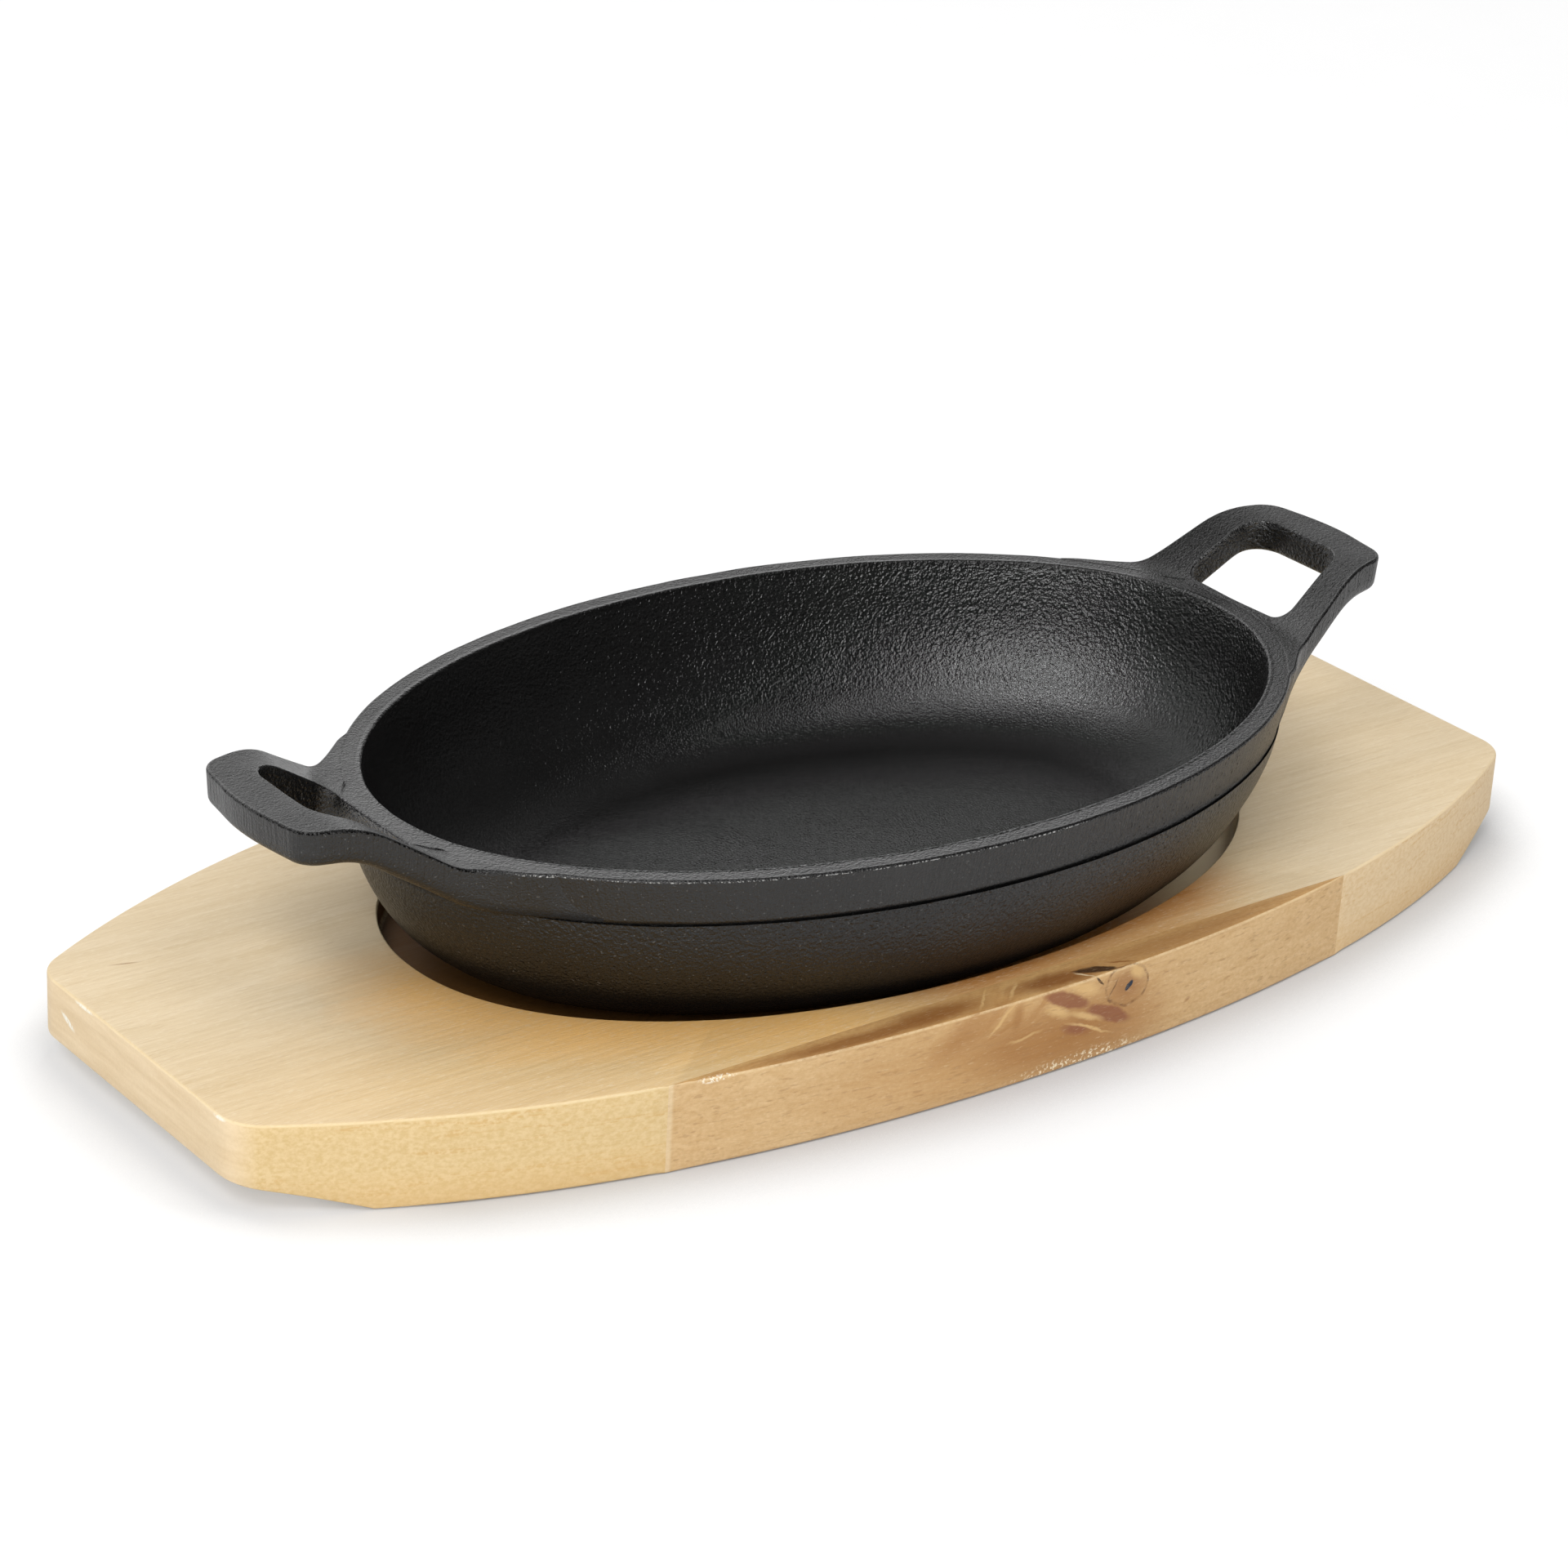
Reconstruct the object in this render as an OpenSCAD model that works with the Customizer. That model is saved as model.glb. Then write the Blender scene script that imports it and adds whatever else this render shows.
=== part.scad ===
// Oval iron sizzle dish with two loop handles, resting in a recess of a bowed wooden underliner.
// Millimetres. X runs along the board, Z is up, and the origin is the middle of the board's underside.

/* [Board] */
// wood between the recess and each straight end
end_land = 53.3; // [46:0.1:68]
// wood between the recess and each bowed side
side_land = 11.1; // [9.5:0.1:17]
// width of the glued front stave at its middle
stave_w = 7.1; // [5:0.1:8.5]
// width of a straight end, measured at its sharp corner
end_w = 62.6; // [52.6:1:76.6]
// how much of the bow is plain curve, the rest is drawn in towards the ends
bow_share = 0.69; // [0.5:0.01:0.95]
// thickness of the board
board_t = 16; // [14:0.5:20]
// radius of the four upright corners
corner_r = 8.4; // [4:0.2:12]
// width of the eased edge round the top and the bottom face
edge_ease = 0.6; // [0.2:0.1:1.5]

/* [Finger coves] */
// length of the hollow under each end of the board
cove_l = 19.7; // [12:0.1:23]
// height of the hollow at the end face
cove_h = 4.9; // [3:0.1:6.5]
// radius of the hollow's curve
cove_r = 130; // [90:5:220]

/* [Recess] */
// depth of the recess
recess_d = 6; // [4:0.5:8]
// clear gap between recess and dish at each end, at the board's top face
end_gap = 5.4; // [3:0.1:7]
// clear gap between recess and dish along each side, at the board's top face
side_gap = 1.4; // [0.8:0.1:2]

/* [Dish] */
// length of the rim, handles left out
rim_l = 189.4; // [180:0.2:200]
// width of the rim
rim_w = 121.4; // [114:0.2:128]
// height of the dish from its base to the flat rim
dish_h = 34.9; // [30:0.5:40]
// width of the flat rim
rim_t = 4.2; // [3.4:0.1:5]
// height of the ground band below the rim
band_h = 8.3; // [6:0.1:10]
// how far the band stands proud of the wall below it
band_step = 0.9; // [0.5:0.1:1.4]
// inward slope of the band over its height
band_slope = 1.2; // [0.4:0.1:1.8]
// radius of the turn from wall to base
turn_r = 29; // [26:0.5:31]
// slope of the wall above that turn, in degrees
draft = 6; // [3:0.5:9]
// inset of the long sides as a share of the inset of the ends
side_share = 0.72; // [0.62:0.01:0.85]
// thickness of the floor
floor_t = 4.5; // [3.5:0.1:6]
// radius of the turn from the floor to the inner wall
inner_turn_r = 24; // [20:0.5:25]
// rounding of the rim's outer edge
rim_edge = 0.5; // [0.3:0.1:1]

/* [Handles] */
// how far a handle reaches beyond the rim
reach = 25.6; // [22:0.2:28]
// rise of the grip above the rim
rise = 9.6; // [6:0.2:12]
// slope of the rising arms, in degrees
rise_slope = 34; // [30:1:40]
// radius of the bend where an arm leaves the rim
low_bend_r = 6; // [4:0.5:10]
// radius of the bend below the grip
high_bend_r = 16; // [10:0.5:18]
// radius, seen from above, of the curve along which the arms start to rise
start_r = 98; // [80:2:140]
// depth of a handle, from its top to its underside
handle_t = 6.4; // [5:0.1:7.5]
// width of the grip bar
bar_w = 8.1; // [6.5:0.1:9.5]
// half width of the finger gap where it meets the rim
gap_root_half = 13.6; // [12:0.1:14]
// half width of the finger gap at the grip
gap_grip_half = 11.1; // [9:0.1:11.5]
// half width of a handle at the outer corners of its grip
grip_half = 15.7; // [14:0.1:18]
// angle at which the arms close in towards the grip
arm_angle = 15; // [10:0.5:18]
// radius of the fillet between rim and arm
root_r = 37; // [30:1:42]
// radius of the outer corners
grip_corner_r = 5.5; // [4:0.1:7]

/* [Hidden] */
ring_n = 88;
arc_n = 9;
side_n = 44;

floor_z = board_t - recess_d;
rim_z = floor_z + dish_h;
rim_a = rim_l / 2;
rim_b = rim_w / 2;
// where an arm would start to rise if its bend were sharp
bend_x = rim_a + 0.6;

// the wall below the band starts at this inset, measured at the ends of the oval
wall_in = band_slope + band_step;
wall_h = dish_h - band_h;
// the turn begins where the sloping wall touches it
turn_h = turn_r * (1 - sin(draft));
turn_in = wall_in + (wall_h - turn_h) * tan(draft) + turn_r * cos(draft);
inner_turn_h = floor_t + inner_turn_r * (1 - sin(draft));
inner_in = rim_t + (dish_h - inner_turn_h) * tan(draft) + inner_turn_r * cos(draft);

// inset of the outer wall at a height above the base
function wall_inset(h) =
    h > turn_h ? wall_in + (wall_h - h) * tan(draft)
               : turn_in - sqrt(pow(turn_r, 2) - pow(turn_r - h, 2));

seat_in = wall_inset(recess_d);
recess_a = rim_a - seat_in + end_gap;
recess_b = rim_b - seat_in * side_share + side_gap;

// the board follows from the recess and the wood left around it
board_l = 2 * (recess_a + end_land);
board_w = 2 * (recess_b + side_land);
bow = (board_w - end_w) / 2;
end_x = board_l / 2;
glue_y = board_w / 2 - stave_w;

// half width of the board at x: a bow that runs flat over the middle
function half_w(x) = let(u = pow(2 * x / board_l, 2))
    board_w / 2 - bow * (bow_share * u + (1 - bow_share) * u * u);
// slope of the bowed side, in degrees, at x
function side_angle(x) = let(u = pow(2 * x / board_l, 2))
    atan(bow * 8 * x / pow(board_l, 2) * (bow_share + 2 * (1 - bow_share) * u));

// an oval with the half axes a and b; square is 2 for an ellipse and more for fuller ends
function oval(a, b, square = 2) = [
    for (i = [0:ring_n - 1])
        let(t = 360 * i / ring_n, c = cos(t), s = sin(t))
        [a * sign(c) * pow(abs(c), 2 / square), b * sign(s) * pow(abs(s), 2 / square)]
];

// a closed outline with each corner [x, y, r] rounded to its radius
function rounded(p, n = 10) = [
    for (i = [0:len(p) - 1])
        let(
            v = [p[i].x, p[i].y],
            before = p[(i + len(p) - 1) % len(p)],
            after = p[(i + 1) % len(p)],
            u = ([before.x, before.y] - v) / norm([before.x, before.y] - v),
            w = ([after.x, after.y] - v) / norm([after.x, after.y] - v),
            half = acos(u * w) / 2,
            r = p[i].z,
            mid = v + (u + w) / norm(u + w) * r / sin(half),
            from = v + u * r / tan(half) - mid,
            turn = (180 - 2 * half) * (u.x * w.y - u.y * w.x > 0 ? -1 : 1)
        )
        for (k = [0:r > 0 ? n : 0])
            let(t = turn * k / n)
            r > 0 ? mid + [from.x * cos(t) - from.y * sin(t), from.x * sin(t) + from.y * cos(t)] : v
];

// closed shell through a list of level ovals [z, a, b]
module loft(levels) {
    rings = [for (q = levels) for (c = oval(q.y, q.z)) [c.x, c.y, q.x]];
    m = len(levels);
    polyhedron(
        points = rings,
        faces = [
            [for (i = [0:ring_n - 1]) i],
            for (j = [0:m - 2])
                for (i = [0:ring_n - 1])
                    let(k = (i + 1) % ring_n)
                    [j * ring_n + i, (j + 1) * ring_n + i, (j + 1) * ring_n + k, j * ring_n + k],
            [for (i = [ring_n - 1:-1:0]) (m - 1) * ring_n + i]
        ],
        convexity = 4
    );
}

// level oval of the dish at a height above its base, drawn in by an inset
function level(h, in, share = side_share) = [floor_z + h, rim_a - in, rim_b - in * share];

// outer wall from the base up, the band, the flat rim, and the inner wall down to the floor
module bowl() {
    loft([
        for (k = [0:arc_n])
            let(t = (90 - draft) * k / arc_n)
            level(turn_r * (1 - cos(t)), turn_in - turn_r * sin(t)),
        level(wall_h, wall_in, 1),
        level(wall_h + 0.4, band_slope, 1),
        level(dish_h - rim_edge, 0, 1),
        level(dish_h - rim_edge * 0.3, rim_edge * 0.3, 1),
        level(dish_h, rim_edge, 1),
        level(dish_h, rim_t, 1),
        for (k = [0:arc_n])
            let(t = (90 - draft) * (1 - k / arc_n), in = inner_in - inner_turn_r * sin(t))
            level(floor_t + inner_turn_r * (1 - cos(t)), in, (rim_t + (in - rim_t) * side_share) / in)
    ]);
}

// where a slanting arm edge lies, at a distance x beyond the outer corner line of the grip
function arm_y(x, half) = half - x * tan(arm_angle);

// outline of one handle seen from above, its root hidden inside the rim
module handle_outline() {
    tip = rim_a + reach;
    edge_x = tip - 2;
    // the arm's edge meets a line that just touches the band's lower edge at the angle touch,
    // so the root grows out of the sloping band without a step
    touch = 51;
    low_a = rim_a - band_slope;
    low_b = rim_b - band_slope;
    tx = low_a * sin(touch);
    ty = low_b * cos(touch);
    slope = low_b / low_a * tan(touch);
    vx = (ty + slope * tx - grip_half - edge_x * tan(arm_angle)) / (slope - tan(arm_angle));
    vy = arm_y(vx - edge_x, grip_half);
    difference() {
        polygon(rounded([
            [tx, ty, 0],
            [vx, vy, root_r],
            [edge_x, grip_half, grip_corner_r],
            [tip + 0.5, 0, 40],
            [edge_x, -grip_half, grip_corner_r],
            [vx, -vy, root_r],
            [tx, -ty, 0]
        ], 12));
        handle_hole();
        polygon(oval(rim_a - rim_t * 0.6, rim_b - rim_t * 0.6));
    }
}

// the finger gap in the loop
module handle_hole() {
    near = rim_a + 0.5;
    far = rim_a + reach - bar_w;
    polygon(rounded([
        [near, gap_root_half, 2.7],
        [far, gap_grip_half, 6],
        [far, -gap_grip_half, 6],
        [near, -gap_root_half, 2.7]
    ], 8));
}

// side view of a handle: level at the rim, rising in two bends, level at the grip;
// its root is as deep as the band
module handle_side() {
    top_x = bend_x + rise / tan(rise_slope);
    low_x = bend_x - (band_h - handle_t) / tan(rise_slope);
    out_x = rim_a + reach + 5;
    polygon(rounded([
        [rim_a - 30, 0, 0],
        [bend_x, 0, low_bend_r],
        [top_x, rise, high_bend_r],
        [out_x, rise, 0],
        [out_x, rise - handle_t, 0],
        [top_x, rise - handle_t, high_bend_r - 4],
        [low_x, -band_h, low_bend_r + 4],
        [rim_a - 30, -band_h, 0]
    ]));
}

// the side view swept round a distant axis, so that the rise follows the bowl's end
module handle_rise() {
    axis_x = bend_x - start_r;
    translate([axis_x, 0, 0])
    rotate([0, 0, -35])
    rotate_extrude(angle = 70)
    translate([-axis_x, 0, 0])
    handle_side();
}

module handle() {
    translate([0, 0, rim_z])
    difference() {
        intersection() {
            translate([0, 0, -20])
            linear_extrude(50)
            handle_outline();
            handle_rise();
        }
        // the flat rim stays flat where an arm starts to rise
        linear_extrude(20)
        polygon(oval(rim_a - 0.4, rim_b - 0.4));
    }
}

module cast_iron_dish() {
    color("#2b2b2c") {
        bowl();
        handle();
        mirror([1, 0, 0])
        handle();
    }
}

// the whole board seen from above: two bowed sides, two short straight ends, four rounded corners
module board_outline() {
    // the corner arc touches the bowed side at touch_x
    first_x = end_x - corner_r * (1 - sin(side_angle(end_x - corner_r)));
    touch_x = end_x - corner_r * (1 - sin(side_angle(first_x)));
    lean = asin((touch_x - end_x + corner_r) / corner_r);
    corner_y = half_w(touch_x) - corner_r * cos(lean);
    quarter = [
        for (k = [0:side_n])
            let(x = touch_x * k / side_n)
            [x, half_w(x)],
        for (k = [1:8])
            let(t = lean + (90 - lean) * k / 8)
            [end_x - corner_r + corner_r * sin(t), corner_y + corner_r * cos(t)]
    ];
    m = len(quarter) - 1;
    polygon([
        for (k = [0:m]) quarter[k],
        for (k = [m:-1:0]) [quarter[k].x, -quarter[k].y],
        for (k = [1:m]) -quarter[k],
        for (k = [m:-1:1]) [-quarter[k].x, quarter[k].y]
    ]);
}

// hollow under one end, a shallow arc that runs across the whole width
module cove() {
    start_x = end_x - cove_l;
    chord = norm([cove_l, cove_h]);
    lean = atan(cove_h / cove_l);
    drop = sqrt(pow(cove_r, 2) - pow(chord / 2, 2));
    mid_x = start_x + cove_l / 2 + drop * sin(lean);
    mid_z = cove_h / 2 - drop * cos(lean);
    translate([mid_x, board_w, mid_z])
    rotate([90, 0, 0])
    cylinder(r = cove_r, h = 2 * board_w, $fn = 360);
}

// the board as thick as it is, its edges eased by drawing the outline in at both faces
module board_blank() {
    drawn_in = [1 - edge_ease / end_x, 1 - 2 * edge_ease / board_w];
    translate([0, 0, edge_ease])
    linear_extrude(board_t - 2 * edge_ease)
    board_outline();
    translate([0, 0, board_t - edge_ease])
    linear_extrude(edge_ease, scale = drawn_in)
    board_outline();
    translate([0, 0, edge_ease])
    mirror([0, 0, 1])
    linear_extrude(edge_ease, scale = drawn_in)
    board_outline();
}

module board() {
    difference() {
        board_blank();
        translate([0, 0, floor_z])
        linear_extrude(board_t)
        polygon(oval(recess_a, recess_b, 2.1));
        cove();
        mirror([1, 0, 0])
        cove();
    }
}

// everything in front of the glue line
module front_of_glue() {
    translate([-board_l, -glue_y - board_w, -1])
    cube([2 * board_l, board_w, board_t + 2]);
}

module board_main_stave() {
    color("#e3cfa4")
    difference() {
        board();
        front_of_glue();
    }
}

module board_front_stave() {
    color("#d9b67e")
    intersection() {
        board_blank();
        front_of_glue();
    }
}

// piece to build, or all of them

cast_iron_dish();
board_main_stave();
board_front_stave();
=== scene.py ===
# Looks of an oval iron sizzle dish and its wooden underliner board.
# Shapes are worked out in millimetres and scaled to metres when a mesh is made.
import math
from functools import partial, reduce

import bpy
import numpy as np
from mathutils import Matrix, Vector, noise


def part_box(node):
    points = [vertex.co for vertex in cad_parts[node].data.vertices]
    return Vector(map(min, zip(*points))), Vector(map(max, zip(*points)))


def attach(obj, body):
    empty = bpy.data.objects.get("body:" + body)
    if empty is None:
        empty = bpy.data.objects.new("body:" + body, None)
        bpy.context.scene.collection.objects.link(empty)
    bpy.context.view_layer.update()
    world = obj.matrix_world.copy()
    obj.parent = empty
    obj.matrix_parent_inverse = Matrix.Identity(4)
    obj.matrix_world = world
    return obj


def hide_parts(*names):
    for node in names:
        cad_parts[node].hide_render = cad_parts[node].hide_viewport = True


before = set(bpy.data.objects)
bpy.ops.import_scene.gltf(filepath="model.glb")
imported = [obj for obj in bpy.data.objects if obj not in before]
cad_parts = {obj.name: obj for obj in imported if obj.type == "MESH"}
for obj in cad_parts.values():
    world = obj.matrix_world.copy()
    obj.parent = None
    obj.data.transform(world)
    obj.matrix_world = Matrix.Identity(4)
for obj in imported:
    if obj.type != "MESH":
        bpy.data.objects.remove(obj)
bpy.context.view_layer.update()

MM = 0.001


def box_mm(node):
    """Lowest and highest corner of a CAD node, in millimetres."""
    return tuple(np.array(corner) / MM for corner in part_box(node))


DISH_LO, DISH_HI = box_mm("cast_iron_dish")
_, BOARD_HI = box_mm("board_main_stave")
_, STAVE_HI = box_mm("board_front_stave")

# board
RECESS_LIP = 0.5
RECESS_FOOT = 1.2
RECESS_SQUARE = 2.1
BOARD_T = BOARD_HI[2]
END_X = BOARD_HI[0]
HALF_W = BOARD_HI[1]
GLUE_Y = -STAVE_HI[1]
END_HALF = 31.3
BOW_SHARE = 0.69
CORNER_R = 8.4
COVE_L = 19.7
COVE_H = 4.9
COVE_R = 130
EASE = 0.55

# dish
FLOOR_Z = DISH_LO[2]
RECESS_D = BOARD_T - FLOOR_Z
RIM_A = 94.7
RIM_B = DISH_HI[1]
REACH = DISH_HI[0] - RIM_A
RISE = 9.6
RIM_Z = DISH_HI[2] - RISE
DISH_H = RIM_Z - FLOOR_Z
RIM_T = 4.2
BAND_H = 8.3
BAND_STEP = 0.9
BAND_SLOPE = 1.2
TURN_R = 29
INNER_TURN_R = 24
DRAFT = math.radians(6)
SIDE_SHARE = 0.72
IRON_FLOOR = 4.5
END_GAP = 5.4
SIDE_GAP = 1.4
EDGE_R = 0.45
INNER_EDGE_R = 0.5
BAND_START = 0.45
# the outer turn gets duller under this height, and over this much height
TURN_DULL = (14, 10)
# size and depth of the waves that a sand mould leaves
WAVE_SIZE = 9
WAVE_DEPTH = 0.1

# handles
RISE_SLOPE = math.radians(34)
LOW_BEND_R = 6
HIGH_BEND_R = 16
START_R = 98
BEND_X = RIM_A + 0.6
HANDLE_T = 6.4
BAR_W = 8.1
GAP_ROOT_HALF = 13.6
GAP_GRIP_HALF = 11.1
GRIP_HALF = 15.7
ARM_ANGLE = math.radians(15)
ROOT_R = 37
GRIP_CORNER_R = 5.5
ROOT_TOUCH = math.radians(51)
ROOT_DEEP = 2.4
GAP_LOW_R = 1.2
# the handle's top above the rim, and how far its edge sinks where it passes under the rim
TOP_LIFT = 0.04
EDGE_SINK = 0.3

# what the points of the casting carry for its looks
MARKS = ("coarse", "ground", "edge", "dull", "joint", "oily")


def link(obj):
    bpy.context.scene.collection.objects.link(obj)


class Shell:
    """Collects rings of points and joins them with faces."""

    def __init__(self):
        self.points = []
        self.faces = []
        self.marks = {}

    def ring(self, points, **marks):
        start = len(self.points)
        self.points.extend(map(tuple, points))
        for name, value in marks.items():
            values = np.broadcast_to(value, len(points))
            self.marks.setdefault(name, {}).update(
                {start + i: values[i] for i in range(len(points))}
            )
        return list(range(start, start + len(points)))

    def bridge(self, low, high, closed=True):
        n = len(low)
        for i in range(n if closed else n - 1):
            j = (i + 1) % n
            self.faces.append((low[i], low[j], high[j], high[i]))

    def stack(self, rings, flip=False):
        for low, high in zip(rings, rings[1:]):
            self.bridge(*((high, low) if flip else (low, high)))

    def fan(self, ring, centre, up=True, **marks):
        (c,) = self.ring([centre], **marks)
        n = len(ring)
        for i in range(n):
            j = (i + 1) % n
            self.faces.append((ring[i], ring[j], c) if up else (ring[j], ring[i], c))

    def build(self, name, sharp):
        mesh = bpy.data.meshes.new(name)
        points = np.array(self.points) * MM
        mesh.from_pydata(points.tolist(), [], self.faces)
        for key, values in self.marks.items():
            layer = mesh.attributes.new(key, "FLOAT", "POINT")
            full = np.zeros(len(points), np.float32)
            full[list(values)] = list(values.values())
            layer.data.foreach_set("value", full)
        mesh.validate()
        mesh.polygons.foreach_set("use_smooth", [True] * len(mesh.polygons))
        mesh.set_sharp_from_angle(angle=math.radians(sharp))
        mesh.update()
        obj = bpy.data.objects.new(name, mesh)
        link(obj)
        return obj


def rounded(corners, steps):
    """A closed outline with each corner (x, y, r) rounded to its radius."""
    out = []
    count = len(corners)
    for i, (x, y, r) in enumerate(corners):
        v = np.array([x, y], float)
        before = np.array(corners[i - 1][:2], float) - v
        after = np.array(corners[(i + 1) % count][:2], float) - v
        u = before / np.linalg.norm(before)
        w = after / np.linalg.norm(after)
        if r == 0:
            out.append(v)
            continue
        half = math.acos(float(u @ w)) / 2
        mid = v + (u + w) / np.linalg.norm(u + w) * r / math.sin(half)
        start = v + u * r / math.tan(half) - mid
        turn = (math.pi - 2 * half) * (-1 if u[0] * w[1] - u[1] * w[0] > 0 else 1)
        for k in range(steps + 1):
            t = turn * k / steps
            c, s = math.cos(t), math.sin(t)
            out.append(mid + (start[0] * c - start[1] * s, start[0] * s + start[1] * c))
    return np.array(out)


def resample(loop, count):
    """Points evenly spaced along a closed loop."""
    path = np.vstack([loop, loop[:1]])
    length = np.concatenate([[0], np.cumsum(np.linalg.norm(np.diff(path, axis=0), axis=1))])
    at = np.linspace(0, length[-1], count + 1)[:-1]
    return np.column_stack([np.interp(at, length, path[:, k]) for k in (0, 1)])


def outward(loop):
    """Unit normals of a closed counter-clockwise loop, pointing out."""
    tangent = np.roll(loop, -1, axis=0) - np.roll(loop, 1, axis=0)
    tangent /= np.linalg.norm(tangent, axis=1)[:, None]
    return np.column_stack([tangent[:, 1], -tangent[:, 0]])


def oval(a, b, count):
    t = np.linspace(0, 2 * math.pi, count, endpoint=False)
    return np.column_stack([a * np.cos(t), b * np.sin(t)])


def arc(centre, r, start, end, steps):
    """Points (x, y) on an arc, angles in degrees."""
    t = np.radians(np.linspace(start, end, steps + 1))
    return np.column_stack([centre[0] + r * np.cos(t), centre[1] + r * np.sin(t)])


def quarter(count):
    """Angles of the points of a rounded edge."""
    return np.radians(np.linspace(0, 90, count))


def with_z(loop, z):
    return np.column_stack([loop, np.broadcast_to(z, len(loop))])


TURN_H = TURN_R * (1 - math.sin(DRAFT))
WALL_H = DISH_H - BAND_H
WALL_IN = BAND_SLOPE + BAND_STEP
TURN_IN = WALL_IN + (WALL_H - TURN_H) * math.tan(DRAFT) + TURN_R * math.cos(DRAFT)
INNER_TURN_H = IRON_FLOOR + INNER_TURN_R * (1 - math.sin(DRAFT))
INNER_IN = RIM_T + (DISH_H - INNER_TURN_H) * math.tan(DRAFT) + INNER_TURN_R * math.cos(DRAFT)
SEAT_IN = TURN_IN - math.sqrt(TURN_R**2 - (TURN_R - RECESS_D) ** 2)
RECESS_A = RIM_A - SEAT_IN + END_GAP
RECESS_B = RIM_B - SEAT_IN * SIDE_SHARE + SIDE_GAP
DISH_RING = 320
TURN_STEPS = 26
EDGE_STEPS = 6
WALL_STEPS = 8
BAND_STEPS = 7
# where the step under the band runs out on the right of the front: middle, half width and fade
RUN_OUT = tuple(map(math.radians, (318, 56, 30)))
# how far the wall's foot spreads below the step, in millimetres
SPREAD_H = 9


def dish_levels():
    """Rows (inset at the ends, inset at the sides, height, marks) from base to floor."""
    draft = math.degrees(DRAFT)
    rows = []

    def add(points, share, coarse, base=0.0, **given):
        marks = {**dict.fromkeys(MARKS, 0.0), "coarse": coarse, **given}
        for inset, height in points:
            rows.append((inset, base + (inset - base) * share, height, marks))

    # the outer turn, from the flat base up to the sloping wall
    for inset, height in arc((TURN_IN, TURN_R), TURN_R, 270, 180 + draft, TURN_STEPS):
        duller = np.clip((TURN_DULL[0] - height) / TURN_DULL[1], 0, 1)
        add([(inset, height)], SIDE_SHARE, 0.95, dull=1 + duller)
    # the soft step where the ground band overhangs the cast wall
    add([(WALL_IN + 0.05, WALL_H - 1.4)], 1, 0.8, dull=1)
    # the mark of these rows says where the shadow under the step is painted
    add([(WALL_IN, WALL_H - 0.6), (WALL_IN - 0.12, WALL_H - 0.35)], 1, 0.6, dull=1.5, joint=1)
    lip = [(BAND_SLOPE + 0.3, WALL_H - 0.02), (BAND_SLOPE + 0.08, WALL_H + 0.18)]
    add(lip, 1, 0.3, ground=0.5, dull=1.4)
    for t in [k / BAND_STEPS for k in range(BAND_STEPS)] + [0.985]:
        height = WALL_H + BAND_START + (BAND_H - BAND_START - EDGE_R) * t
        add([(BAND_SLOPE * (1 - t), height)], 1, 0.15, ground=1.0, dull=1)
    # the outer edge of the rim and its flat top
    edge = arc((EDGE_R, DISH_H - EDGE_R), EDGE_R, 180, 90, EDGE_STEPS)
    for share, point in zip(np.linspace(1, 0, EDGE_STEPS + 1), edge):
        add([point], 1, 0.3, ground=0.6, edge=share, dull=share)
    flat = np.linspace(EDGE_R + 0.3, RIM_T - 1.1, 4)
    add([(x, DISH_H) for x in flat], 1, 0.42)
    # the inner edge of the rim and the wall down to the floor
    wall_top = DISH_H - INNER_EDGE_R
    edge = arc((RIM_T - INNER_EDGE_R, wall_top), INNER_EDGE_R, 90, draft, EDGE_STEPS)
    add(edge, 1, 0.9, oily=0.3)
    for height in np.linspace(wall_top, INNER_TURN_H, WALL_STEPS + 1)[1:-1]:
        inset = RIM_T + (DISH_H - height) * math.tan(DRAFT)
        add([(inset, height)], SIDE_SHARE, 1, base=RIM_T, oily=1)
    turn_z = IRON_FLOOR + INNER_TURN_R
    for inset, height in arc((INNER_IN, turn_z), INNER_TURN_R, 180 + draft, 270, TURN_STEPS):
        above = height - IRON_FLOOR
        coarse = np.clip((above - 5) / 3, 0.15, 1) * (0.6 + 0.4 * np.clip((above - 10) / 8, 0, 1))
        add([(inset, height)], SIDE_SHARE, coarse, base=RIM_T, oily=1)
    return rows


def bowl_walls(shell):
    """Rings from the flat base over the rim to the level floor."""
    rings = []
    angles = np.linspace(0, 2 * math.pi, DISH_RING, endpoint=False)
    middle, half, fade = RUN_OUT
    away = np.abs((angles - middle + math.pi) % (2 * math.pi) - math.pi)
    run_out = np.clip((half - away) / fade, 0, 1)
    flush = 0.35 + 0.55 * run_out
    kept = 1 - 0.85 * run_out
    for inset, side, height, marks in dish_levels():
        loop = oval(RIM_A - inset, RIM_B - side, DISH_RING)
        dull = marks["dull"]
        below = WALL_H + 0.3 - height
        if dull and below > 0:
            out = min(inset - BAND_SLOPE, BAND_STEP) * math.exp(-((below / SPREAD_H) ** 2)) * flush
            loop = loop + outward(loop) * out[:, None]
        if dull > 1 and 0 < below < 1:
            marks = {**marks, "dull": 1 + (dull - 1) * kept, "joint": marks["joint"] * kept}
        rings.append(shell.ring(with_z(loop, FLOOR_Z + height), **marks))
    return rings


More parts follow.
